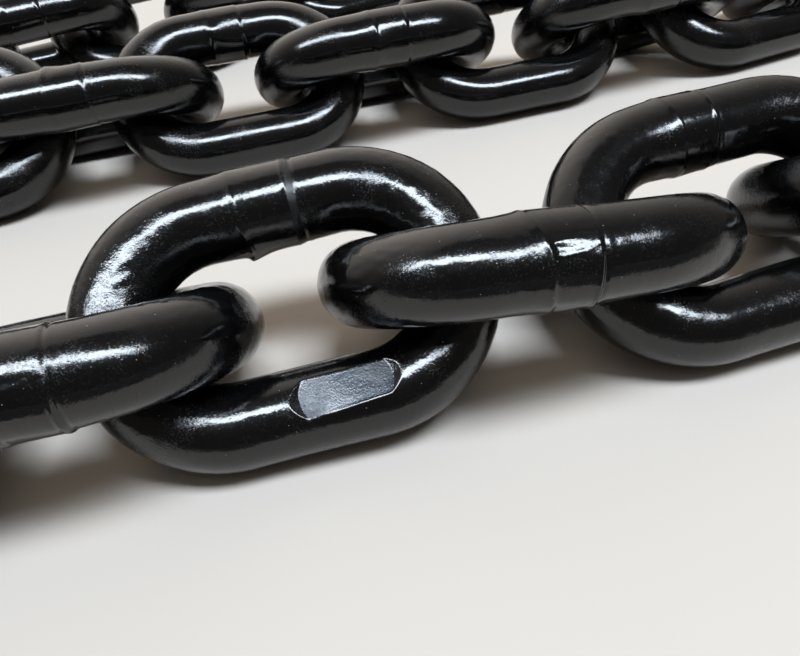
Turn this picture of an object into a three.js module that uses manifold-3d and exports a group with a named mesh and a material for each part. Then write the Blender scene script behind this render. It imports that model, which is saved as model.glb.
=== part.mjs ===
// A heap of black lacquered lifting chain: one two-metre length of welded short-link chain,
// laid on a floor in three rows that turn back on themselves.
// Millimetres, +Z up. The origin is on the floor, under the middle of the heap.
import * as THREE from 'three';
import { mergeVertices } from 'three/addons/utils/BufferGeometryUtils.js';
import Module from 'manifold-3d';

const wasm = await Module();
wasm.setup();

// Link: a round bar bent into a loop with two straight arms and two half-round crowns
const barDiameter = 16;
const pitch = 3 * barDiameter;
const outerWidth = 3.5 * barDiameter;
const crownRadius = (outerWidth - barDiameter) / 2;
const armLength = pitch + barDiameter - 2 * crownRadius;

// Length of chain: 41 pitches and the two end bars make 2 m
const linkCount = 41;

// Weld: a collar slightly thicker than the bar, in the middle of one arm. In the third link
// of the front row, and by less in two others, it lies off the middle, along the route.
const weldLength = 0.6 * barDiameter;
const weldSlope = 0.08 * barDiameter;
const weldSwell = 1.05;
const weldOffsets = new Map([[2, 5], [3, -1], [5, -2]]);

// Mark pad: a bare flat with round ends, cut into the face of the other arm. It lies off the
// arm's middle and is turned a little towards the eye.
const padLength = 1.1 * barDiameter;
const padWidth = 0.42 * barDiameter;
const padHeight = 0.454 * barDiameter;
const padOffset = 0.44 * barDiameter;
const padTurn = THREE.MathUtils.degToRad(7);
const padEndSteps = 6;
const firstPadLink = 3;
const linksPerPad = 20;

// Facets: a twelve-sided bar with the area of the round one, and eight steps round each crown
const barSides = 12;
const crownSteps = 8;
const facetRadius = barDiameter / 2 *
  Math.sqrt(2 * Math.PI / (barSides * Math.sin(2 * Math.PI / barSides)));

// How the links lie: leaning on one another, alternate links to opposite sides.
// In a turn, the links whose raised arm is on the outside stand up more.
const restingLean = THREE.MathUtils.degToRad(34);
const leanVariation = THREE.MathUtils.degToRad(1);
const leanRhythm = 2.4;
const standUpPerTurn = 0.5;
const contactGap = 0.3;
const spacingStep = 0.25;
const routeDivisions = 1000;

// One link of the front row rocks: its left end rides up on the link before, and the links
// to both sides follow, each by half as much
const rockingLink = 4;
const rockAngle = THREE.MathUtils.degToRad(4);
const rockFade = 0.5;

// Route of the chain over the floor: a front row, a middle row and a back row, joined at their
// ends by loops that are wider than the gap between the rows, so each has an ease on both sides.
// The front row steps a little aside near its middle.
const frontRowStart = -149;
const sidestepX = 34;
const sidestepLength = 90;
const sidestepWidth = 6;
const rightEaseX = 170;
const leftEaseX = -107;
const frontToMiddle = 121;
const middleToBack = 74;
const loopRadius = 78;
const easeRadius = 200;
const slantLength = 30;
const backRowHeading = THREE.MathUtils.degToRad(15);
const backRowLength = 300;

const lacqueredSteel = new THREE.MeshStandardMaterial({
  color: 0x0b0b0d,
  roughness: 0.22,
  metalness: 0,
});

// Places along the bent bar, from the weld round both crowns: a point of the middle line,
// the direction that the outer side of the section faces, and how thick the bar is there
function makeStations(weldMiddle) {
  const edge = weldLength / 2;
  const weld = [[-edge - weldSlope, 1], [-edge, weldSwell], [edge, weldSwell], [edge + weldSlope, 1]]
    .map(([x, swell]) => ({ x: weldMiddle + x, y: crownRadius, facing: Math.PI / 2, swell }));
  const crown = (side, firstFacing) => Array.from({ length: crownSteps + 1 }, (_, step) => {
    const facing = firstFacing - Math.PI * step / crownSteps;
    return {
      x: side * armLength / 2 + crownRadius * Math.cos(facing),
      y: crownRadius * Math.sin(facing),
      facing,
      swell: 1,
    };
  });
  return [...weld, ...crown(1, Math.PI / 2), ...crown(-1, -Math.PI / 2)];
}

// A straight bar of one ring of points for each station, bent round the link until its ends meet.
// The section is turned so that one facet faces the floor when the link leans.
function bendBar(lean, weldMiddle) {
  const stations = makeStations(weldMiddle);
  const firstCorner = Math.PI / barSides - lean;
  const bar = new THREE.CylinderGeometry(
    facetRadius, facetRadius, 1, barSides, stations.length, true, firstCorner);
  bar.deleteAttribute('normal');
  bar.deleteAttribute('uv');
  const points = bar.getAttribute('position');
  const pointsPerRing = barSides + 1;
  for (let i = 0; i < points.count; i += 1) {
    const station = stations[Math.floor(i / pointsPerRing) % stations.length];
    const outward = points.getX(i) * station.swell;
    const upward = points.getZ(i) * station.swell;
    points.setXYZ(
      i,
      station.x + outward * Math.cos(station.facing),
      station.y + outward * Math.sin(station.facing),
      upward,
    );
  }
  return mergeVertices(bar);
}

function solidFromGeometry(geometry) {
  return new wasm.Manifold(new wasm.Mesh({
    numProp: 3,
    vertProperties: Float32Array.from(geometry.getAttribute('position').array),
    triVerts: Uint32Array.from(geometry.getIndex().array),
  }));
}

function geometryFromSolid(solid) {
  const mesh = solid.getMesh();
  const geometry = new THREE.BufferGeometry();
  geometry.setAttribute('position', new THREE.BufferAttribute(mesh.vertProperties, 3));
  geometry.setIndex(new THREE.BufferAttribute(mesh.triVerts, 1));
  return geometry;
}

// The mark pad is cut by a slot-shaped block that takes off the top of the plain arm.
// The block is made round the arm's own middle, turned, and then moved to its place.
function cutPad(geometry) {
  const slot = new THREE.Shape();
  const endRadius = padWidth / 2;
  const endCentre = padLength / 2 - endRadius;
  slot.absarc(endCentre, 0, endRadius, -Math.PI / 2, Math.PI / 2);
  slot.absarc(-endCentre, 0, endRadius, Math.PI / 2, 3 * Math.PI / 2);
  slot.closePath();
  const block = new THREE.ExtrudeGeometry(
    slot, { depth: barDiameter, bevelEnabled: false, curveSegments: padEndSteps });
  block.translate(0, 0, padHeight);
  block.rotateX(-padTurn);
  block.translate(padOffset, -crownRadius, 0);
  block.deleteAttribute('normal');
  block.deleteAttribute('uv');
  const cutter = solidFromGeometry(mergeVertices(block));
  return geometryFromSolid(solidFromGeometry(geometry).subtract(cutter));
}

// One link, lying on the floor with its welded arm raised by its lean.
// Links with an odd index raise the arm on the left of the route, the others the one on the right.
function makeLink(index, place, heading, turns) {
  const raisedLeft = index % 2 === 1;
  const outwardTurn = Math.max(0, ...turns.map((turn) => raisedLeft ? -turn : turn));
  const lean = restingLean + leanVariation * Math.sin(leanRhythm * index) + standUpPerTurn * outwardTurn;
  const rock = rockAngle * (-rockFade) ** Math.abs(index - rockingLink);
  const hasPad = index % linksPerPad === firstPadLink % linksPerPad;
  const weldOffset = weldOffsets.get(index) ?? 0;
  const bar = bendBar(lean, raisedLeft ? weldOffset : -weldOffset);
  const link = new THREE.Mesh(hasPad ? cutPad(bar) : bar, lacqueredSteel);
  link.name = `link_${String(index + 1).padStart(2, '0')}`;
  link.rotation.set(
    lean, raisedLeft ? rock : -rock, raisedLeft ? heading : heading + Math.PI, 'ZYX');
  link.position.copy(place);
  link.updateMatrix();
  link.position.z = -new THREE.Box3().setFromObject(link, true).min.z;
  link.updateMatrix();
  return link;
}

// Gap between two links where they lie, 0 where they cut into one another
function gapBetween(link, otherLink) {
  const [solid, otherSolid] = [link, otherLink]
    .map((mesh) => solidFromGeometry(mesh.geometry).transform(mesh.matrix.elements));
  return solid.minGap(otherSolid, barDiameter);
}

// Angle by which the route slants outwards before a loop between two rows that far apart
function slantAngle(rowGap) {
  const radii = loopRadius + easeRadius;
  return Math.acos((rowGap / 2 + easeRadius) / Math.hypot(radii, slantLength))
    - Math.atan2(slantLength, radii);
}

// The route as lines and arcs that run smoothly into one another
function makeRoute() {
  const quarter = Math.PI / 2;
  const right = slantAngle(frontToMiddle);
  const left = slantAngle(middleToBack);
  const loopOffset = (slant) => (loopRadius + easeRadius) * Math.sin(slant) + slantLength * Math.cos(slant);
  const rightLoopX = rightEaseX + loopOffset(right);
  const leftLoopX = leftEaseX - loopOffset(left);
  const backY = frontToMiddle + middleToBack;
  const sidestepTurn = 2 * Math.atan(sidestepWidth / sidestepLength);
  const sidestepRadius = sidestepLength / 2 / Math.sin(sidestepTurn);
  const sidestepStart = sidestepX - sidestepLength / 2;
  const sidestepEnd = sidestepX + sidestepLength / 2;
  const route = new THREE.Path();
  route.moveTo(frontRowStart, sidestepWidth);
  route.lineTo(sidestepStart, sidestepWidth);
  route.absarc(
    sidestepStart, sidestepWidth - sidestepRadius, sidestepRadius, quarter, quarter - sidestepTurn, true);
  route.absarc(sidestepEnd, sidestepRadius, sidestepRadius, -quarter - sidestepTurn, -quarter);
  route.lineTo(rightEaseX, 0);
  route.absarc(rightEaseX, -easeRadius, easeRadius, quarter, quarter - right, true);
  route.absarc(rightLoopX, frontToMiddle / 2, loopRadius, -quarter - right, quarter + right);
  route.absarc(rightEaseX, frontToMiddle + easeRadius, easeRadius, right - quarter, -quarter, true);
  route.absarc(leftEaseX, frontToMiddle - easeRadius, easeRadius, quarter, quarter + left);
  route.absarc(leftLoopX, backY - middleToBack / 2, loopRadius, left - quarter, quarter - left, true);
  route.absarc(leftEaseX, backY + easeRadius, easeRadius, -quarter - left, backRowHeading - quarter);
  const end = route.currentPoint;
  route.lineTo(
    end.x + backRowLength * Math.cos(backRowHeading),
    end.y + backRowLength * Math.sin(backRowHeading),
  );
  return route;
}

// The chain is laid link by link along the route, each as far on as its contact with the last allows
function layChain() {
  const route = makeRoute();
  route.arcLengthDivisions = routeDivisions;
  const routeLength = route.getLength();
  const headingAt = (distance) => {
    const along = route.getTangentAt(THREE.MathUtils.clamp(distance / routeLength, 0, 1));
    return Math.atan2(along.y, along.x);
  };
  const turnBetween = (distance, laterDistance) => {
    const turn = headingAt(laterDistance) - headingAt(distance);
    return Math.atan2(Math.sin(turn), Math.cos(turn));
  };
  const linkAt = (index, distance) => {
    const place = route.getPointAt(distance / routeLength);
    const turns = [turnBetween(distance - pitch, distance), turnBetween(distance, distance + pitch)];
    return makeLink(index, new THREE.Vector3(place.x, place.y, 0), headingAt(distance), turns);
  };
  let distance = pitch / 2;
  const links = [linkAt(0, distance)];
  for (let index = 1; index < linkCount; index += 1) {
    let spacing = pitch;
    let link = linkAt(index, distance + spacing);
    while (gapBetween(link, links[index - 1]) < contactGap && spacing > barDiameter) {
      spacing -= spacingStep;
      link = linkAt(index, distance + spacing);
    }
    distance += spacing;
    links.push(link);
  }
  return links;
}

const chain = new THREE.Group();
chain.add(...layChain());
const middle = new THREE.Box3().setFromObject(chain, true).getCenter(new THREE.Vector3());
chain.position.set(-middle.x, -middle.y, 0);

const heap = new THREE.Group();
heap.add(chain);

export default heap;
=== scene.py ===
# Looks of a heap of lifting chain: 41 welded links in glossy black lacquer on a pale floor.
# Metres, +Z up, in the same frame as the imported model.
import bpy
import numpy as np
from mathutils import Matrix


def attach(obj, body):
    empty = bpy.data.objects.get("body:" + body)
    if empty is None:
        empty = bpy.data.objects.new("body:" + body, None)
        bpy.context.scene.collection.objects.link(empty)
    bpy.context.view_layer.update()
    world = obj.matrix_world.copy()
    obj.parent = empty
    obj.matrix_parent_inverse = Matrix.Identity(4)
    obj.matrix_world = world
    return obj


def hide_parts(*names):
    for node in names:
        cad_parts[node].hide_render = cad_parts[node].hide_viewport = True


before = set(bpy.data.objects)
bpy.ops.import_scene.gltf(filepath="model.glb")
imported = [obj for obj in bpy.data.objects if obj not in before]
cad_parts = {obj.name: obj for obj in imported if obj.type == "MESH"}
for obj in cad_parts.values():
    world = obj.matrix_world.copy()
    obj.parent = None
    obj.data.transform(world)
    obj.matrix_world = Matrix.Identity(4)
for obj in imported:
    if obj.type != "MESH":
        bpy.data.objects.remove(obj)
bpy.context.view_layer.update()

MM = 0.001

# The link: a round bar bent into two straight arms and two half-round crowns
BAR_RADIUS = 8 * MM
CROWN_RADIUS = 20 * MM
ARM_LENGTH = 24 * MM
CROWN_LENGTH = np.pi * CROWN_RADIUS
LINE_LENGTH = 2 * ARM_LENGTH + 2 * CROWN_LENGTH
PLAIN_ARM_MIDDLE = LINE_LENGTH / 2

# The weld: a collar near the middle of the raised arm. The bar swells towards it and drops at a
# slanting step with a small lip on one side. The collar rises from there to a crest, with a ridge
# just before its far edge and a groove where the dull seam ends, and fades away. A HEIGHT or DROP is
# the part that is the same all round; its SHARE goes with the fullness. A SIDE is an angle round
# the bar from the collar's fullest side, and a SPREAD is how far round the bar something reaches,
# in radians. The burr is a lump on one side, which hangs back over the step. The waves are faint
# ripples in the bar beside the weld. The last number is how far the solid's collar draws the middle
# of its volume towards the raised arm.
FULLNESS_WAVES = (0.5 * MM, 0.15 * MM, 0.3 * MM)
SWELL_HEIGHT, SWELL_SHARE = 0.28 * MM, 0.35
SWELL_LENGTH = 7.0 * MM
LIP_HEIGHT, LIP_WIDTH, LIP_BACK = 0.09 * MM, 0.45 * MM, 0.35 * MM
STEP_SLANT = 1.2 * MM
STEP_WANDER, FAR_EDGE_WANDER_SHARE = 0.35 * MM, 0.3
STEP_DROP, STEP_DROP_SHARE = 0.24 * MM, 0.10
STEP_WIDENING = 2.5
CREST_HEIGHT, CREST_SHARE = 0.16 * MM, 0.80
FADE_SHARE, FADE_LENGTH = 0.5, 3.2 * MM
RIDGE_HEIGHT, RIDGE_WIDTH, RIDGE_BACK = 0.16 * MM, 0.35 * MM, 0.2 * MM
GROOVE_DEPTH, GROOVE_WIDTH = 0.20 * MM, 0.42 * MM
GROUND_SIDE, GROUND_SPREAD, GROUND_SHARE = np.radians(165), 0.8, 0.8
BURR_LENGTH, BURR_OVERHANG = 3.4 * MM, 2.3 * MM
BURR_SIDE, BURR_SPREAD = np.radians(-18), 0.34
BURR_TAKES = 0.75
SEAM_STARTS_OVER, SEAM_ENDS_OVER, SEAM_AT_FULL_WIDTH = 0.9 * MM, 1.2 * MM, 2 * MM
WAVE_HEIGHT, WAVE_LENGTH, WAVE_FADE = 0.015 * MM, 2.7 * MM, 2.6 * MM
WELD_OFFSET_OF_MASS = 0.13 * MM

# A weld: where the collar's fullest side faces, how far the weld lies off the arm's middle towards
# +X, how long the collar is, how wide the dull seam past it and the step before it are, the side
# on which the step drops most, and how high the burr is. Every link has the plain weld, with its
# fullest side anywhere, but for what the front links set here.
PLAIN_WELD = {"offset": 0.0, "length": 9.6 * MM, "seam": 0.7 * MM, "step": 0.3 * MM,
              "drop_side": np.radians(-15), "burr": 0.8 * MM}
FRONT_WELDS = {
    "link_03": {"full_side": np.radians(280), "offset": 5 * MM, "burr": 0.3 * MM},
    "link_04": {"full_side": np.radians(220), "offset": -0.1 * MM, "length": 8.8 * MM,
                "seam": 1.6 * MM, "burr": 1.1 * MM},
    "link_05": {"full_side": np.radians(280), "offset": -2.5 * MM, "length": 7.8 * MM,
                "step": 0.55 * MM, "drop_side": np.radians(60), "burr": 0.2 * MM},
    "link_06": {"full_side": np.radians(230), "offset": -3.6 * MM, "length": 6.8 * MM,
                "burr": 0.5 * MM},
}

# How far outwards the welded arm lies off its straight line at its left end and at its right end,
# and where along it and over what length it goes from one to the other
ARM_OFF_LINE = {"link_04": (-0.95 * MM, 0.40 * MM)}
BEND_MIDDLE, BEND_LENGTH = 12 * MM, 60 * MM

# Slow dents in the bar and the scale under its lacquer, which is rougher at the crowns: height,
# longest and shortest wave, and how many waves are summed
DENTS = {"longest": 40 * MM, "shortest": 14 * MM, "waves": 10}
DENT_HEIGHT = 0.05 * MM
SCALE = {"longest": 3.6 * MM, "shortest": 1.5 * MM, "waves": 30}
SCALE_HEIGHT, SCALE_AT_CROWNS = 0.009 * MM, 0.022 * MM
SCALE_SEED, WELD_SEED = 500, 900

# How worn the lacquer is on the arms, and how much more so at the left and the right crown. The
# weld and a little beyond it are less worn.
PLAIN_WEAR = (-0.15, 0.7, 0.7)
FRONT_WEAR = {"link_03": (-0.30, 0.4, 0.4), "link_04": (0.0, 1.0, 0.45),
              "link_05": (-0.20, 0.4, 0.5), "link_06": (-0.30, 0.45, 0.45)}
LESS_WEAR_ON_WELD, LESS_WEAR_BEYOND = 0.35, 1.5 * MM

# Flats that the trimming left on the collar: angle from its fullest side, and depth. Then how far
# a flat turns from the step to the far edge, how far round the bar it can reach, how much its depth
# wanders, and the fine marks on the first of them.
FLATS = ((np.radians(94), 0.055 * MM), (np.radians(82), 0.02 * MM), (np.radians(-70), 0.05 * MM),
         (np.radians(20), 0.07 * MM), (np.radians(165), 0.06 * MM))
FLAT_TWIST = 0.10
FLAT_REACH = 1.0
FLAT_WANDER = 0.035 * MM
TRIM_MARK_HEIGHT = 0.020 * MM
TRIM_MARK_SPREAD = 0.35
TRIM_MARKS_ROUND = 26

# The mark pad: a bare flat, pressed into the plain arm, with sloping end walls and a fine rim. HEIGHT
# is from the bar's middle to its floor, OFFSET from the arm's middle to its own, TURN how far it is
# turned towards the link's middle, TWIST how much that grows in a metre of arm, and RISE its slope.
PAD_LENGTH = 16.5 * MM
PAD_END_RADIUS = 5.3 * MM
PAD_HEIGHT = 7.2 * MM
PAD_OFFSET = 6.85 * MM
PAD_TURN = np.radians(10.3)
PAD_TWIST = np.radians(0.40) / MM
PAD_CURL = 0.08 * MM
PAD_WALL_SLOPE = 0.52
PAD_RISE = 0.014
PAD_EDGE_ROUNDING = 0.10 * MM
PAD_RIM_HEIGHT = 0.055 * MM
PAD_RIM_WIDTH = 0.11 * MM
PAD_END_RIM_SHARE = 0.4
PAD_LINKS = ("link_04", "link_24")
PAD_MIDDLE = PLAIN_ARM_MIDDLE - PAD_OFFSET

# How finely each link is made: steps along the bar in metres and round it in radians. The front
# links have the closest grid. Along the bar, the steps are finer at the weld and at the pad. Round
# it, each front link has a band of finer steps, given as its middle, reach and step. The streaks on
# the raised arms of link_03, link_04 and link_05 lie in their bands, and those on link_06's don't.
# Links with a pad also have a band either side of PAD_BANDS_MIDDLE. These two miss the pad's long
# edges, which are near 1.30 and 2.20 radians, so the steps there are wider than in the bands.
MARKED_FRONT_LINK = "link_04"
OTHER_FRONT_LINKS = ("link_03", "link_05", "link_06")
FRONT_STEP, FRONT_STEP_ROUND = 0.62 * MM, 0.070
REAR_STEP, REAR_STEP_ROUND, REAR_PAD_STEP_ROUND = 1.6 * MM, 0.143, 0.11
WELD_REACH, PAD_REACH = 7.5 * MM, 10.5 * MM
MARKED_WELD_STEP, FRONT_WELD_STEP, REAR_WELD_STEP = 0.16 * MM, 0.18 * MM, 0.5 * MM
FRONT_PAD_STEP, REAR_PAD_STEP = 0.2 * MM, 0.45 * MM
MARKED_BAND = (np.radians(100), 0.45, 0.026)
FRONT_BAND = (np.radians(17), 0.42, 0.018)
PAD_BANDS_MIDDLE = np.pi / 2 - PAD_TURN
PAD_BAND_AWAY, PAD_BAND_REACH = 0.43, 0.11
FRONT_PAD_BAND_STEP, REAR_PAD_BAND_STEP = 0.013, 0.03
FINE_PLACES = 8001
ROUND = 2 * np.pi


def stations(total, step, finer):
    """Places along a closed line: one step apart, and closer together near each
    (middle, reach, step) of finer. They cut the summed density into equal parts."""
    fine = np.linspace(0, total, FINE_PLACES)
    density = np.full_like(fine, 1 / step)
    for middle, reach, closer in finer:
        away = np.abs((fine - middle + total / 2) % total - total / 2)
        density = np.where(away < reach, np.maximum(density, 1 / closer), density)
    parts = (density[1:] + density[:-1]) / 2 * np.diff(fine)
    summed = np.concatenate([[0], np.cumsum(parts)])
    count = int(round(summed[-1]))
    return np.interp(np.arange(count) * summed[-1] / count, summed, fine)


def middle_line(along):
    """Middle of the bar at a distance along it from the middle of the raised arm, and which way is
    outwards there. Straight arm, half circle, straight arm, half circle: the facing angle falls
    from 90 degrees to -270, evenly round each crown and not at all on the arms."""
    place = np.mod(along + ARM_LENGTH / 2, LINE_LENGTH) - ARM_LENGTH / 2
    right = np.clip((place - ARM_LENGTH / 2) / CROWN_LENGTH, 0, 1)
    plain = np.clip((place - ARM_LENGTH / 2 - CROWN_LENGTH) / ARM_LENGTH, 0, 1)
    left = np.clip((place - 1.5 * ARM_LENGTH - CROWN_LENGTH) / CROWN_LENGTH, 0, 1)
    facing = np.pi / 2 - np.pi * (right + left)
    centre = np.clip(place, -ARM_LENGTH / 2, ARM_LENGTH / 2) - ARM_LENGTH * plain
    x = centre + CROWN_RADIUS * np.cos(facing)
    y = CROWN_RADIUS * np.sin(facing)
    return x, y, np.cos(facing), np.sin(facing)


def smooth_step(value, width):
    """0 below -width/2, 1 above +width/2 and an S between."""
    part = np.clip(value / width + 0.5, 0, 1)
    return part * part * (3 - 2 * part)


def bell(value, width):
    """Height 1 at 0, falling off as exp(-(value/width)^2)."""
    return np.exp(-(value / width) ** 2)


def unevenness(points, seed, longest, shortest, waves):
    """A smooth random height, mostly between -1 and 1: sine waves in random directions, with
    lengths between longest and shortest, summed and divided by the square root of their number."""
    rng = np.random.default_rng(seed)
    directions = rng.normal(size=(waves, 3))
    directions /= np.linalg.norm(directions, axis=1, keepdims=True)
    lengths = np.exp(rng.uniform(np.log(shortest), np.log(longest), waves))
    phases = rng.uniform(0, ROUND, waves)
    angles = points @ (directions * (ROUND / lengths)[:, None]).T + phases
    return np.sin(angles).sum(-1) / np.sqrt(waves)


def turned_by(around, angle):
    """How far round the bar a place lies from an angle, between 0 and half a turn."""
    return np.abs((around - angle + np.pi) % ROUND - np.pi)


def weld_height(place, around, weld):
    """How far the weld stands above the bar, and where its dull seam is. The collar's fullness is
    a sum of waves of 1, cos a and cos 2a, with a the angle from its full side, and is less round
    the burr, which took its metal. The bar swells as a square of the place before the step. The
    step drops as ((1 + cos b) / 2)^2, with b the angle from its drop side, and is wider there. The
    crest is ground down on one side. Flats limit the collar to (radius - depth) / cos(angle from
    the flat), and trimming marks run along it. The seam is a band just past the collar's far edge,
    and small waves die out on both sides of the weld."""
    turn = around - weld["full_side"]
    at_burr = turned_by(turn, BURR_SIDE)
    even, once_round, twice_round = FULLNESS_WAVES
    fullness = even + once_round * np.cos(turn) + twice_round * np.cos(2 * turn)
    fullness = fullness * (1 - BURR_TAKES * bell(at_burr, 2 * BURR_SPREAD))

    # The step's edge and the collar's far edge, and how far a place is from one to the other
    wander = np.sin(3 * turn + 2.85) + 0.2 * np.sin(7 * turn + 4.03)
    overhang = BURR_OVERHANG * bell(at_burr, BURR_SPREAD) * weld["burr"] / MM
    edge = -weld["length"] / 2 + STEP_SLANT * np.cos(turn) + STEP_WANDER * wander - overhang
    far = weld["length"] / 2 + FAR_EDGE_WANDER_SHARE * STEP_WANDER * wander
    along_collar = np.clip((place - edge) / (far - edge), 0, 1)

    # Heights before the step, after it and at the crest
    drop = (0.5 + 0.5 * np.cos(turn - weld["drop_side"])) ** 2
    before = SWELL_HEIGHT + SWELL_SHARE * fullness
    after = before - (STEP_DROP + STEP_DROP_SHARE * fullness) * drop
    ground = 1 - GROUND_SHARE * bell(turned_by(turn, GROUND_SIDE), GROUND_SPREAD)
    crest = CREST_HEIGHT + CREST_SHARE * fullness * ground
    swelling = before * np.clip(1 + (place - edge) / SWELL_LENGTH, 0, 1) ** 2
    swelling = swelling + LIP_HEIGHT * (0.6 + 0.4 * drop) * bell(place - edge + LIP_BACK, LIP_WIDTH)

    # The collar, cut by the flats and marked by the trimming
    collar = after + (crest - after) * along_collar
    for number, (angle, depth) in enumerate(FLATS):
        round_part = BAR_RADIUS + collar
        away = turned_by(turn, angle + FLAT_TWIST * (along_collar - 0.5))
        away = np.minimum(away, FLAT_REACH)
        depth = depth + FLAT_WANDER * np.sin(5.0 * along_collar + 2.4 * number)
        collar = np.minimum(collar, (round_part - depth) / np.cos(away) - BAR_RADIUS)
    trimmed = bell(turned_by(turn, FLATS[0][0]), TRIM_MARK_SPREAD)
    collar = collar + TRIM_MARK_HEIGHT * trimmed * np.sin(TRIM_MARKS_ROUND * turn + 2.0 * along_collar)

    # Swelling, collar and fading joined
    fading = FADE_SHARE * crest * np.exp(-np.maximum(place - far, 0) / FADE_LENGTH)
    started = smooth_step(place - edge, weld["step"] * (1 + STEP_WIDENING * drop))
    ended = smooth_step(place - far - weld["seam"] / 2, weld["seam"])
    level = swelling + (collar - swelling) * started
    level = level + (fading - level) * ended

    # Ridge, groove, burr and waves
    ridge = RIDGE_HEIGHT * bell(place - far + RIDGE_BACK, RIDGE_WIDTH)
    ridge = ridge * (0.5 + 0.5 * np.sin(2 * turn + 0.5))
    groove = GROOVE_DEPTH * bell(place - far - weld["seam"], GROOVE_WIDTH)
    groove = groove * (0.6 + 0.4 * np.sin(3 * turn - 1.1))
    burr = weld["burr"] * started * bell(np.maximum(place - edge, 0), BURR_LENGTH)
    burr = burr * bell(at_burr, BURR_SPREAD)
    beyond = np.maximum(np.maximum(edge - place, place - far - weld["seam"]), 0)
    waves = WAVE_HEIGHT * np.sin(ROUND * beyond / WAVE_LENGTH) * np.exp(-beyond / WAVE_FADE)

    # The dull seam, which is patchy round the bar
    patchy = 0.5 + 0.4 * np.cos(turn - 3.4) + 0.1 * np.sin(9 * turn + 1.0)
    seam = smooth_step(place - far, SEAM_STARTS_OVER)
    seam = seam * smooth_step(far + weld["seam"] - place, SEAM_ENDS_OVER)
    seam = seam * patchy * (weld["seam"] / SEAM_AT_FULL_WIDTH)
    return level + ridge - groove + burr + waves, seam


def press_pad(x, y, z):
    """Flattens the plain arm's face to the pad's floor, turned a little towards the link's middle
    and twisted evenly along the arm. The limit on height rises very slightly along the floor, up
    to ends that are arcs, and faster beyond them; it curls up a little at the edges. It meets the
    round bar in an edge rounded as (a + b - sqrt((a - b)^2 + r^2)) / 2, with a fine rim outside
    it, which is lower round the ends."""
    side = y + CROWN_RADIUS
    turned = PAD_TURN + PAD_TWIST * np.clip(x - PAD_OFFSET, -PAD_LENGTH / 2, PAD_LENGTH / 2)
    across = side * np.cos(turned) - z * np.sin(turned)
    height = side * np.sin(turned) + z * np.cos(turned)
    end = PAD_LENGTH / 2 - across ** 2 / (2 * PAD_END_RADIUS)
    past_end = np.abs(x - PAD_OFFSET) - end
    limit = PAD_HEIGHT + PAD_RISE * (x - PAD_OFFSET) + PAD_WALL_SLOPE * np.maximum(past_end, 0)
    at_edge = 1 - smooth_step(height - limit - 1.1 * PAD_RIM_WIDTH, 2.2 * PAD_RIM_WIDTH)
    limit = limit + PAD_CURL * at_edge
    proud = height - limit
    pressed = smooth_step(proud - 1.5 * PAD_RIM_WIDTH, PAD_RIM_WIDTH)
    rim = PAD_RIM_HEIGHT * (1 - (1 - PAD_END_RIM_SHARE) * smooth_step(past_end, MM))
    rounded = (height + limit - np.sqrt(proud ** 2 + PAD_EDGE_ROUNDING ** 2)) / 2
    height = np.where(np.abs(proud) < 5 * PAD_EDGE_ROUNDING, rounded, np.minimum(height, limit))
    height = height + rim * bell(proud + 1.6 * PAD_RIM_WIDTH, PAD_RIM_WIDTH)
    new_side = across * np.cos(turned) + height * np.sin(turned)
    new_z = height * np.cos(turned) - across * np.sin(turned)
    near = (side > -BAR_RADIUS * 1.5) & (side < BAR_RADIUS * 1.5) & (z > 0)
    y = np.where(near, new_side - CROWN_RADIUS, y)
    on_floor = pressed * (1 - smooth_step(past_end, 2 * PAD_RIM_WIDTH))
    return y, np.where(near, new_z, z), np.where(near, on_floor, 0.0)


def lie_of(name):
    """Middle and axes of a CAD link, from the moments of its volume: each triangle makes a
    tetrahedron with a point in the link's eye, and their moments add up. A tetrahedron's middle is
    a quarter of the sum of its corners, and its second moments a twentieth of the sums of their
    products. The longest axis lies along the link, the next across it towards the raised arm,
    and the third faces up."""
    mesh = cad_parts[name].data
    mesh.calc_loop_triangles()
    places = np.empty(len(mesh.vertices) * 3)
    mesh.vertices.foreach_get("co", places)
    corners = np.empty(len(mesh.loop_triangles) * 3, dtype=np.int32)
    mesh.loop_triangles.foreach_get("vertices", corners)
    triangles = places.reshape(-1, 3)[corners.reshape(-1, 3)]
    base = triangles.mean((0, 1))
    triangles = triangles - base
    volumes = np.linalg.det(triangles) / 6
    volume = volumes.sum()
    sums = triangles.sum(1)
    middle = (volumes[:, None] * sums).sum(0) / 4 / volume
    products = np.einsum("tki,tkj->tij", triangles, triangles)
    products += np.einsum("ti,tj->tij", sums, sums)
    spread = np.einsum("t,tij->ij", volumes, products) / 20
    spread = spread - volume * np.outer(middle, middle)
    axes = np.linalg.eigh(spread)[1]
    across = axes[:, 1] * np.sign(axes[2, 1])
    facing_up = axes[:, 0] * np.sign(axes[2, 0])
    lengthwise = np.cross(across, facing_up)
    middle = middle + base - across * WELD_OFFSET_OF_MASS
    return middle, lengthwise, across, facing_up


def pad_bands(step):
    """The two bands of finer steps round the bar of a link with a pad."""
    return [(PAD_BANDS_MIDDLE + way * PAD_BAND_AWAY, PAD_BAND_REACH, step) for way in (-1, 1)]


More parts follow.
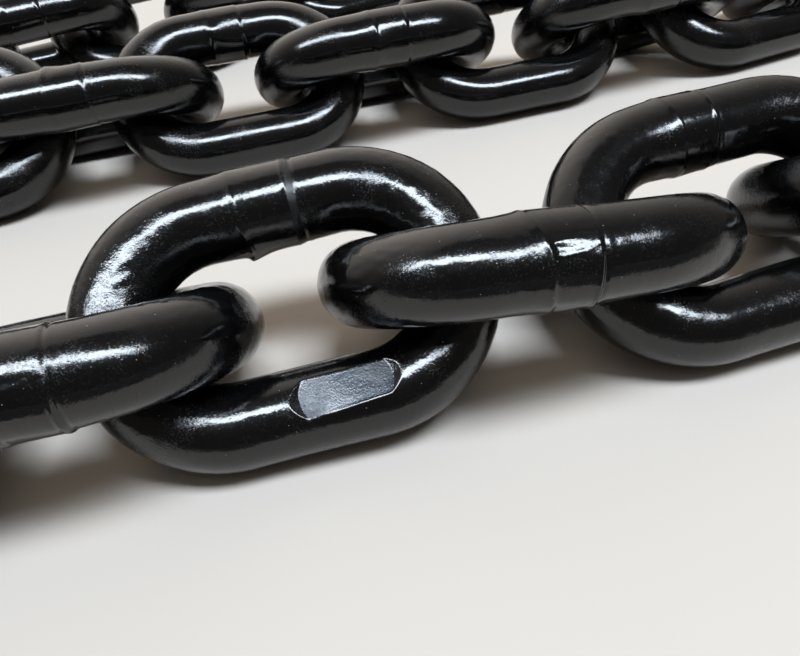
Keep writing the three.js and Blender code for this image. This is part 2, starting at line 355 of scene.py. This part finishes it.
def link_grid(name, weld_middle):
    """Places along the bar and round it at which the link's surface is worked out."""
    if name == MARKED_FRONT_LINK:
        along = stations(LINE_LENGTH, FRONT_STEP, [(weld_middle, WELD_REACH, MARKED_WELD_STEP),
                                                   (PAD_MIDDLE, PAD_REACH, FRONT_PAD_STEP)])
        around = stations(ROUND, FRONT_STEP_ROUND, [MARKED_BAND] + pad_bands(FRONT_PAD_BAND_STEP))
    elif name in OTHER_FRONT_LINKS:
        along = stations(LINE_LENGTH, FRONT_STEP, [(weld_middle, WELD_REACH, FRONT_WELD_STEP)])
        around = stations(ROUND, FRONT_STEP_ROUND, [FRONT_BAND])
    elif name in PAD_LINKS:
        along = stations(LINE_LENGTH, REAR_STEP, [(weld_middle, WELD_REACH, REAR_WELD_STEP),
                                                  (PAD_MIDDLE, PAD_REACH, REAR_PAD_STEP)])
        around = stations(ROUND, REAR_PAD_STEP_ROUND, pad_bands(REAR_PAD_BAND_STEP))
    else:
        along = stations(LINE_LENGTH, REAR_STEP, [(weld_middle, WELD_REACH, REAR_WELD_STEP)])
        around = stations(ROUND, REAR_STEP_ROUND, [])
    return along, around


def make_link(name, seed):
    """One link: rings of the bar's section carried along its middle line. The radius is the
    bar's, plus the weld, plus slow dents and the unevenness of the scale under the lacquer,
    which is stronger at the crowns, where the links bear on one another. An arm that isn't quite
    straight is moved sideways, fully at the welded arm and not at all at the plain one."""
    middle, lengthwise, across, facing_up = lie_of(name)
    flip = 1.0 if lengthwise[0] > 0 else -1.0
    rng = np.random.default_rng(seed + WELD_SEED)
    weld = {"full_side": rng.uniform(0, ROUND), **PLAIN_WELD, **FRONT_WELDS.get(name, {})}
    weld_middle = flip * weld["offset"]
    along, around = link_grid(name, weld_middle)
    along = np.mod(along + LINE_LENGTH / 2, LINE_LENGTH) - LINE_LENGTH / 2
    along, around = np.meshgrid(along, around, indexing="ij")
    line_x, line_y, out_x, out_y = middle_line(along)
    section = np.stack([
        line_x + BAR_RADIUS * np.cos(around) * out_x,
        line_y + BAR_RADIUS * np.cos(around) * out_y,
        BAR_RADIUS * np.sin(around),
    ], axis=-1)
    crown = smooth_step(np.abs(line_x) - ARM_LENGTH / 2 - CROWN_RADIUS / 2, CROWN_RADIUS)
    dents = DENT_HEIGHT * unevenness(section, seed, **DENTS)
    scale = (SCALE_HEIGHT + SCALE_AT_CROWNS * crown) * unevenness(section, seed + SCALE_SEED, **SCALE)
    raised, seam = weld_height(flip * (along - weld_middle), around, weld)
    radius = BAR_RADIUS + raised + dents + scale
    x = line_x + radius * np.cos(around) * out_x
    y = line_y + radius * np.cos(around) * out_y
    z = radius * np.sin(around)
    left_off, right_off = ARM_OFF_LINE.get(name, (0.0, 0.0))
    off_line = left_off + (right_off - left_off) * smooth_step(flip * x - BEND_MIDDLE, BEND_LENGTH)
    y = y + off_line * smooth_step(line_y, 2 * CROWN_RADIUS)
    pad = np.zeros_like(x)
    if name in PAD_LINKS:
        y, z, pad = press_pad(x, y, z)
    past_weld = np.maximum(np.abs(along - weld_middle) - weld["length"] / 2, 0)
    on_weld = bell(past_weld, LESS_WEAR_BEYOND)
    arm_wear, left_wear, right_wear = FRONT_WEAR.get(name, PLAIN_WEAR)
    crown_wear = np.where(flip * line_x < 0, left_wear, right_wear)
    wear = arm_wear + crown_wear * crown - LESS_WEAR_ON_WELD * on_weld
    places = (middle + x[..., None] * lengthwise + y[..., None] * across
              + z[..., None] * facing_up)
    return places, {"wear": wear, "seam": seam, "pad": pad}


def closed_grid(name, places, values):
    """A mesh object from a grid of places that closes on itself both ways. Each face is
    turned so that it faces away from the bar's middle line."""
    rings, per_ring = places.shape[:2]
    number = np.arange(rings * per_ring).reshape(rings, per_ring)
    on_ring = np.roll(number, -1, axis=1)
    next_ring = np.roll(number, -1, axis=0)
    beyond = np.roll(on_ring, -1, axis=0)
    faces = np.stack([number, on_ring, beyond, next_ring], axis=-1).reshape(-1, 4)
    mesh = bpy.data.meshes.new(name)
    mesh.vertices.add(rings * per_ring)
    mesh.vertices.foreach_set("co", places.astype(np.float32).ravel())
    mesh.loops.add(faces.size)
    mesh.loops.foreach_set("vertex_index", faces.astype(np.int32).ravel())
    mesh.polygons.add(len(faces))
    mesh.polygons.foreach_set("loop_start", np.arange(0, faces.size, 4, dtype=np.int32))
    mesh.update(calc_edges=True)
    mesh.shade_smooth()
    for label, value in values.items():
        attribute = mesh.attributes.new(label, "FLOAT", "POINT")
        attribute.data.foreach_set("value", value.astype(np.float32).ravel())
    piece = bpy.data.objects.new(name, mesh)
    bpy.context.scene.collection.objects.link(piece)
    return piece


def feed(tree, socket, value):
    """Links a socket to the node output that is given, or sets it to a plain value."""
    if isinstance(value, bpy.types.NodeSocket):
        tree.links.new(value, socket)
    else:
        socket.default_value = value


def add_node(tree, kind, **inputs):
    """A shader node with values or links for its inputs; a blank in a name is written as _."""
    node = tree.nodes.new(kind)
    for label, value in inputs.items():
        feed(tree, node.inputs[label.replace("_", " ")], value)
    return node


def combine(tree, operation, first, second):
    """A Math node that joins two values."""
    node = tree.nodes.new("ShaderNodeMath")
    node.operation = operation
    feed(tree, node.inputs[0], first)
    feed(tree, node.inputs[1], second)
    return node.outputs[0]


def mix_colours(tree, share, first, second):
    """A Mix node that goes from one colour to another as the share goes from 0 to 1."""
    node = tree.nodes.new("ShaderNodeMix")
    node.data_type = "RGBA"
    feed(tree, node.inputs["Factor"], share)
    feed(tree, node.inputs["A"], first)
    feed(tree, node.inputs["B"], second)
    return node.outputs["Result"]


def ramp(tree, value, start, end, low=0.0, high=1.0):
    """A Map Range node: low where the value is at start, high where it is at end."""
    node = add_node(tree, "ShaderNodeMapRange", Value=value, From_Min=start, From_Max=end,
                    To_Min=low, To_Max=high)
    return node.outputs["Result"]


# The lacquer's colours, from the deepest to the palest
LACQUER_BLACK = (0.0012, 0.0013, 0.0015, 1)
SCALE_BROWN = (0.0040, 0.0037, 0.0035, 1)
PAD_BLUE_GREY = (0.010, 0.018, 0.034, 1)
DUST_GREY = (0.22, 0.21, 0.19, 1)

# How rough the lacquer is outside and inside its patches, and what the specks, the pad and the
# seam add; its index of refraction; the haze round its streaks; and how deep its bumps are
LACQUER_ROUGHNESS = (0.08, 0.15)
SPECKS_ROUGHNESS = 0.16
PAD_ROUGHNESS = (0.14, 0.36)
SEAM_ROUGHNESS = 0.45
LACQUER_IOR = 1.52
HAZE_WEIGHT, HAZE_ROUGHNESS = 0.10, 0.30
BUMP_DEPTH = 0.05 * MM

# How far wear spreads the patches, and how much closer the specks lie in them
WEAR_SPREADS = 0.07
PATCHES_SPECKLE = 0.09


def lacquer_over_scale():
    """Shader node group: the height and the masks of lacquer that follows the scale under it.
    Height adds a slow ripple, a fine grain, sparse grit and small round pits, and the last three
    are stronger in the patches of Mottle. Specks is where the scale itself shows through: fine
    spots that lie closer together in those patches. Wear above 0 spreads the patches, and below 0
    it shrinks them. Dust is a few pale flecks, each the middle of a small cell."""
    group = bpy.data.node_groups.new("lacquer_over_scale", "ShaderNodeTree")
    group.interface.new_socket("Place", in_out="INPUT", socket_type="NodeSocketVector")
    for label, default in (("Ripple", 0.5), ("Grain", 0.3), ("Grit", 0.3), ("Pits", 0.4), ("Wear", 0.0)):
        socket = group.interface.new_socket(label, in_out="INPUT", socket_type="NodeSocketFloat")
        socket.default_value = default
    for label in ("Height", "Mottle", "Specks", "Dust"):
        group.interface.new_socket(label, in_out="OUTPUT", socket_type="NodeSocketFloat")
    given = group.nodes.new("NodeGroupInput").outputs
    result = group.nodes.new("NodeGroupOutput").inputs

    def noise(scale, detail, roughness=0.5):
        node = add_node(group, "ShaderNodeTexNoise", Vector=given["Place"], Scale=scale, Detail=detail,
                        Roughness=roughness)
        return node.outputs["Fac"]

    def cells(scale):
        return add_node(group, "ShaderNodeTexVoronoi", Vector=given["Place"], Scale=scale).outputs

    # Patches, and the specks in them
    worn = combine(group, "ADD", noise(110.0, 4.0, 0.6),
                   combine(group, "MULTIPLY", given["Wear"], WEAR_SPREADS))
    mottle = ramp(group, worn, 0.47, 0.68)
    speckled = combine(group, "ADD", noise(2600.0, 3.0, 0.65),
                       combine(group, "MULTIPLY", mottle, PATCHES_SPECKLE))
    specks = ramp(group, speckled, 0.57, 0.67)

    # Small round pits in sparse places, and grit on chosen grains
    pit = ramp(group, cells(620.0)["Distance"], 0.08, 0.22, 1.0, 0.0)
    pitted = combine(group, "MULTIPLY", pit, ramp(group, noise(150.0, 1.0), 0.52, 0.66))
    dot = ramp(group, cells(2300.0)["Distance"], 0.10, 0.42, 1.0, 0.0)
    grit = combine(group, "MULTIPLY", dot, ramp(group, noise(900.0, 1.0), 0.50, 0.62))

    # Dust: the middles of the cells that drew a high number
    flecks = cells(900.0)
    fleck = ramp(group, flecks["Distance"], 0.05, 0.09, 1.0, 0.0)
    drawn = add_node(group, "ShaderNodeSeparateColor", Color=flecks["Color"]).outputs["Red"]
    dust = combine(group, "MULTIPLY", fleck, ramp(group, drawn, 0.79, 0.81))

    height = combine(group, "MULTIPLY", noise(420.0, 2.0), given["Ripple"])
    fine = combine(group, "MULTIPLY", noise(2600.0, 2.0, 0.6), given["Grain"])
    fine = combine(group, "ADD", fine, combine(group, "MULTIPLY", grit, given["Grit"]))
    holes = combine(group, "MULTIPLY", pitted, given["Pits"])
    scaly = combine(group, "SUBTRACT", fine, holes)
    scaly = combine(group, "MULTIPLY", scaly, ramp(group, mottle, 0.0, 1.0, 0.35, 1.0))
    height = combine(group, "ADD", height, scaly)
    for label, value in (("Height", height), ("Mottle", mottle), ("Specks", specks), ("Dust", dust)):
        feed(group, result[label], value)
    return group


def black_lacquer():
    """Glossy black lacquer: near black, a little browner and duller in patches, rougher where it
    is worn, dull in the weld's seam and dull and blue-grey on the mark pad, with a bump that
    follows the scale. A thin rough coat lays a soft haze round the sharp streaks."""
    material = bpy.data.materials.new("black_lacquer")
    material.use_nodes = True
    tree = material.node_tree
    marks = {}
    for label in ("wear", "seam", "pad"):
        node = tree.nodes.new("ShaderNodeAttribute")
        node.attribute_name = label
        marks[label] = node.outputs["Fac"]
    group = tree.nodes.new("ShaderNodeGroup")
    group.node_tree = lacquer_over_scale()
    surface = group.outputs

    # Where the surface is worn or bare, grain, grit and pits show more
    rougher = combine(tree, "MAXIMUM", marks["wear"],
                      combine(tree, "MAXIMUM", marks["pad"], marks["seam"]))
    feed(tree, group.inputs["Place"], tree.nodes.new("ShaderNodeTexCoord").outputs["Object"])
    feed(tree, group.inputs["Wear"], marks["wear"])
    feed(tree, group.inputs["Ripple"], 0.5)
    feed(tree, group.inputs["Grain"], ramp(tree, rougher, -0.35, 1.0, 0.3, 2.0))
    for label in ("Grit", "Pits"):
        feed(tree, group.inputs[label], ramp(tree, rougher, 0.0, 1.0, 0.35, 1.0))

    colour = mix_colours(tree, surface["Specks"], LACQUER_BLACK, SCALE_BROWN)
    colour = mix_colours(tree, marks["pad"], colour, PAD_BLUE_GREY)
    colour = mix_colours(tree, surface["Dust"], colour, DUST_GREY)
    lacquered = combine(tree, "ADD", ramp(tree, surface["Mottle"], 0.0, 1.0, *LACQUER_ROUGHNESS),
                        combine(tree, "MULTIPLY", surface["Specks"], SPECKS_ROUGHNESS))
    bare = combine(tree, "MAXIMUM",
                   combine(tree, "MULTIPLY", marks["pad"],
                           ramp(tree, surface["Mottle"], 0.0, 1.0, *PAD_ROUGHNESS)),
                   combine(tree, "MULTIPLY", marks["seam"], SEAM_ROUGHNESS))
    bump = add_node(tree, "ShaderNodeBump", Strength=1.0, Distance=BUMP_DEPTH, Height=surface["Height"])

    shader = tree.nodes["Principled BSDF"]
    feed(tree, shader.inputs["Base Color"], colour)
    feed(tree, shader.inputs["Roughness"], combine(tree, "ADD", lacquered, bare))
    feed(tree, shader.inputs["Normal"], bump.outputs["Normal"])
    shader.inputs["IOR"].default_value = LACQUER_IOR
    shader.inputs["Coat Weight"].default_value = HAZE_WEIGHT
    shader.inputs["Coat Roughness"].default_value = HAZE_ROUGHNESS
    return material


# The floor: two close off-whites in slow clouds, how matt it is, half the width of the square, and
# how far it lies under the chain
FLOOR_COLOURS = ((0.450, 0.430, 0.405, 1), (0.470, 0.450, 0.425, 1))
FLOOR_CLOUD_SCALE = 9.0
FLOOR_ROUGHNESS, FLOOR_SPECULAR = 0.75, 0.2
FLOOR_HALF = 4.0
FLOOR_BELOW = 0.05 * MM


def pale_floor():
    """Plain pale floor, warm off-white and matt."""
    material = bpy.data.materials.new("pale_floor")
    material.use_nodes = True
    tree = material.node_tree
    place = tree.nodes.new("ShaderNodeTexCoord").outputs["Object"]
    cloud = add_node(tree, "ShaderNodeTexNoise", Vector=place, Scale=FLOOR_CLOUD_SCALE, Detail=3.0)
    shader = tree.nodes["Principled BSDF"]
    feed(tree, shader.inputs["Base Color"], mix_colours(tree, cloud.outputs["Fac"], *FLOOR_COLOURS))
    shader.inputs["Roughness"].default_value = FLOOR_ROUGHNESS
    shader.inputs["Specular IOR Level"].default_value = FLOOR_SPECULAR
    return material


def flat_sheet(name, left, right, near, far, height):
    """A level rectangle between two places along X and two along Y."""
    corners = [(left, near, height), (right, near, height), (right, far, height), (left, far, height)]
    mesh = bpy.data.meshes.new(name)
    mesh.from_pydata(corners, [], [(0, 1, 2, 3)])
    sheet = bpy.data.objects.new(name, mesh)
    bpy.context.scene.collection.objects.link(sheet)
    return sheet


def make_floor():
    """A square of floor just under the chain."""
    floor = flat_sheet("floor", -FLOOR_HALF, FLOOR_HALF, -FLOOR_HALF, FLOOR_HALF, -FLOOR_BELOW)
    floor.data.materials.append(pale_floor())


def facing_matrix(place, forward, right):
    """Matrix of a camera or light at a place that looks along forward, with right on its right.
    Both are made of length 1, and right is first made square to forward."""
    forward = forward / np.linalg.norm(forward)
    right = right - np.dot(right, forward) * forward
    right = right / np.linalg.norm(right)
    matrix = np.eye(4)
    matrix[:3, 0] = right
    matrix[:3, 1] = np.cross(right, forward)
    matrix[:3, 2] = -forward
    matrix[:3, 3] = place
    return Matrix(matrix.tolist())


# Camera: close above the front row, as in the photograph
CAMERA_PLACE = (1.06 * MM, -207.64 * MM, 95.58 * MM)
CAMERA_HEADING = np.radians(12.38)
CAMERA_PITCH = np.radians(41.82)
CAMERA_ROLL = np.radians(-6.12)
FOCAL_PIXELS = 649.94
IMAGE_WIDTH = 800
SENSOR_WIDTH = 36.0
NEAREST_SEEN = 5 * MM


def make_camera():
    """The camera looks along its heading and down by its pitch, and is rolled about its axis."""
    forward = np.array([
        np.sin(CAMERA_HEADING) * np.cos(CAMERA_PITCH),
        np.cos(CAMERA_HEADING) * np.cos(CAMERA_PITCH),
        -np.sin(CAMERA_PITCH),
    ])
    level = np.cross(forward, (0, 0, 1))
    level = level / np.linalg.norm(level)
    up = np.cross(level, forward)
    data = bpy.data.cameras.new("camera")
    data.sensor_fit = "HORIZONTAL"
    data.sensor_width = SENSOR_WIDTH
    data.lens = SENSOR_WIDTH * FOCAL_PIXELS / IMAGE_WIDTH
    data.clip_start = NEAREST_SEEN
    camera = bpy.data.objects.new("camera", data)
    right = np.cos(CAMERA_ROLL) * level + np.sin(CAMERA_ROLL) * up
    camera.matrix_world = facing_matrix(CAMERA_PLACE, forward, right)
    bpy.context.scene.collection.objects.link(camera)
    bpy.context.scene.camera = camera


# The softboxes: a long, narrow one overhead that makes the streaks in the gloss, and a shorter,
# wider one that lights the floor. Both face the same place near the front row.
SOFTBOX_TARGET = (0.0, -0.12, 0.0)
SOFTBOXES = {
    "long_softbox": {"place": (-0.21, -0.679, 1.5), "sideways": (0.944, -0.330, 0.0), "length": 2.74,
                     "depth": 0.36, "radiance": 26.0, "colour": (0.80, 0.90, 1.0), "for_floor": False},
    "floor_softbox": {"place": (0.72, -0.70, 3.0), "sideways": (0.95, -0.31, 0.0), "length": 2.00,
                      "depth": 0.80, "radiance": 34.0, "colour": (0.88, 0.94, 1.0), "for_floor": True},
}


def make_softbox(name, place, sideways, length, depth, radiance, colour, for_floor):
    """A rectangular soft light, with its length along sideways. Its power is radiance times area
    times pi. It lights either what is matt, such as the floor, or what is glossy."""
    data = bpy.data.lights.new(name, "AREA")
    data.shape = "RECTANGLE"
    data.size = length
    data.size_y = depth
    data.energy = radiance * length * depth * np.pi
    data.color = colour
    light = bpy.data.objects.new(name, data)
    light.matrix_world = facing_matrix(place, np.subtract(SOFTBOX_TARGET, place), np.array(sideways))
    light.visible_camera = False
    light.visible_diffuse = for_floor
    light.visible_glossy = not for_floor
    bpy.context.scene.collection.objects.link(light)


# The room: where it is brightest, how fast that falls off, how bright it is there and elsewhere,
# and between which heights of a direction the darker ceiling takes over
ROOM_BRIGHT_SIDE = (-0.123, 0.874, 0.470)
ROOM_FALL_OFF = 6.5
ROOM_FALL_OFF_FOR_FLOOR = 3.2
ROOM_BRIGHTEST = 1.35
ROOM_DARKEST = 0.09
CEILING_STARTS = 0.905
CEILING_FULL = 0.945
CEILING_SHARE = 0.15
ROOM_TINT = (1.0, 0.93, 0.86, 1)
ROOM_TINT_FOR_FLOOR = (1.0, 0.85, 0.70, 1)
BACKGROUND = (0.70, 0.68, 0.655, 1)


def soft_room():
    """The room round the chain: bright towards one side and falling off as a power of
    (1 + cosine of the angle from it) / 2, with a darker ceiling. It is wider and warmer where it
    lights the floor than in the lacquer's gloss. What the camera sees past the floor is plain and
    pale."""
    world = bpy.data.worlds.new("room")
    world.use_nodes = True
    tree = world.node_tree
    direction = tree.nodes.new("ShaderNodeTexCoord").outputs["Generated"]
    facing = tree.nodes.new("ShaderNodeVectorMath")
    facing.operation = "DOT_PRODUCT"
    tree.links.new(direction, facing.inputs[0])
    facing.inputs[1].default_value = ROOM_BRIGHT_SIDE
    half = combine(tree, "MULTIPLY", combine(tree, "ADD", facing.outputs["Value"], 1.0), 0.5)
    path = tree.nodes.new("ShaderNodeLightPath").outputs
    fall_off = ramp(tree, path["Is Diffuse Ray"], 0.0, 1.0, ROOM_FALL_OFF, ROOM_FALL_OFF_FOR_FLOOR)
    lobe = combine(tree, "POWER", half, fall_off)
    height = add_node(tree, "ShaderNodeSeparateXYZ", Vector=direction).outputs["Z"]
    ceiling = ramp(tree, height, CEILING_STARTS, CEILING_FULL, 1.0, CEILING_SHARE)
    walls = combine(tree, "MULTIPLY", combine(tree, "MULTIPLY", lobe, ROOM_BRIGHTEST), ceiling)
    room = tree.nodes["Background"]
    tint = mix_colours(tree, path["Is Diffuse Ray"], ROOM_TINT, ROOM_TINT_FOR_FLOOR)
    feed(tree, room.inputs["Color"], tint)
    feed(tree, room.inputs["Strength"], combine(tree, "ADD", walls, ROOM_DARKEST))
    plain = add_node(tree, "ShaderNodeBackground", Color=BACKGROUND, Strength=1.0)
    mix = tree.nodes.new("ShaderNodeMixShader")
    for socket, value in zip(mix.inputs, (path["Is Camera Ray"], room.outputs[0], plain.outputs[0])):
        tree.links.new(value, socket)
    tree.links.new(mix.outputs[0], tree.nodes["World Output"].inputs["Surface"])
    bpy.context.scene.world = world


# The painted shade card: a black sheet that stands in for the floor in the camera's shadow before
# the chain, and is seen only in reflections. Where its near and its far edge lie along Y, half its
# width, its height over the chain's underside, its colour and how matt it is
CARD_NEAR, CARD_FAR = -0.215, -1.6
CARD_HALF = 1.5
CARD_HEIGHT = 0.5 * MM
PAINTED_SHADE_COLOUR, CARD_ROUGHNESS = (0.03, 0.03, 0.03, 1), 0.9


def make_painted_shade_card():
    """A black card that lies before the chain as painted shade: it stands in for the floor in the
    camera's shadow. Only reflections meet it, and the camera doesn't see it: it keeps the sides of
    the links that face the camera deep black, as a painted reflection of that shade."""
    material = bpy.data.materials.new("painted_shade_black")
    material.use_nodes = True
    shader = material.node_tree.nodes["Principled BSDF"]
    shader.inputs["Base Color"].default_value = PAINTED_SHADE_COLOUR
    shader.inputs["Roughness"].default_value = CARD_ROUGHNESS
    # A black sheet of painted shade, which only the reflections in the lacquer meet
    card = flat_sheet("painted_shade_card", -CARD_HALF, CARD_HALF, CARD_FAR, CARD_NEAR, CARD_HEIGHT)
    card.data.materials.append(material)
    card.visible_camera = False
    card.visible_diffuse = False
    card.visible_shadow = False


def make_lighting():
    """Both softboxes, in a soft room, and the black card of painted shade."""
    for name, softbox in SOFTBOXES.items():
        make_softbox(name, **softbox)
    soft_room()
    make_painted_shade_card()
    bpy.context.scene.view_settings.view_transform = "Standard"


def make_chain():
    """Every link of the chain, in place of its plain solid."""
    lacquer = black_lacquer()
    for seed, name in enumerate(sorted(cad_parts)):
        places, values = make_link(name, seed)
        piece = closed_grid(name + "_lacquered", places, values)
        piece.data.materials.append(lacquer)
        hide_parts(name)
        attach(piece, "root")


make_camera()
make_lighting()
make_floor()
make_chain()
